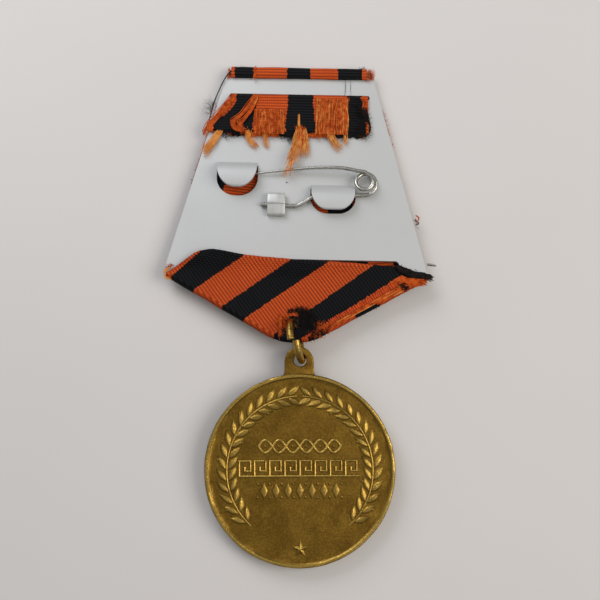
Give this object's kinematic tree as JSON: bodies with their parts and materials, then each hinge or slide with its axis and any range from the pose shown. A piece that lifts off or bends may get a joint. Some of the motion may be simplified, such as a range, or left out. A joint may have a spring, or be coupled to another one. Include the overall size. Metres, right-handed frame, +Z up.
{
  "type": "service medal",
  "caption": "Round brass service medal hung by a split ring from a pentagonal white-metal mount with a folded striped ribbon and a sprung pin, lying pin side up.",
  "frame": {"origin": "on the table under the middle of the whole part as it lies on its face", "axes": "+Z up, out of the pin side; +Y from the medal towards the mount's top edge; +X across, to the right when the pin side is seen with the medal below"},
  "size_m": [0.0458, 0.0876, 0.0079],
  "materials": {
    "white_metal": "pale satin sheet, lightly scratched",
    "pin_wire": "drawn wire, slightly dulled",
    "catch_metal": "folded bright sheet",
    "striped_ribbon": "ribbed silk, orange with black stripes, frayed at its ends",
    "ring_brass": "polished by wear",
    "medal_brass": "struck brass, aged brown in the field and bright on high spots"
  },
  "bodies": {
    "mount": {"mount_plate": "white_metal", "ribbon_front_panel": "striped_ribbon", "ribbon_left_wing": "striped_ribbon", "ribbon_right_wing": "striped_ribbon", "ribbon_back_fold": "striped_ribbon", "ribbon_top_wrap": "striped_ribbon", "ribbon_bar_loop": "striped_ribbon", "ribbon_tail": "striped_ribbon", "pin_fixed_arm": "pin_wire", "pin_coil": "pin_wire", "pin_catch": "catch_metal"},
    "needle": {"pin_needle": "pin_wire"},
    "ring": {"suspension_ring": "ring_brass"},
    "medal": {"medal": "medal_brass"}
  },
  "joints": [
    {"name": "needle_swing", "type": "hinge", "parent": "mount", "child": "needle", "pos_m": [0.0119, 0.02238, 0.00263], "axis": [0, 0.0305, 0.9995], "range_deg": [0, 12], "stiffness_Nm_per_rad": 0.02},
    {"name": "ring_swing", "type": "hinge", "parent": "mount", "child": "ring", "pos_m": [0, -0.00333, 0.00254], "axis": [0, 0.0305, 0.9995], "range_deg": [-34, 10]},
    {"name": "medal_swing", "type": "hinge", "parent": "ring", "child": "medal", "pos_m": [0.00042, -0.00639, 0.00397], "axis": [-0.9661, -0.2054, -0.1564], "range_deg": [-16, 150]}
  ]
}
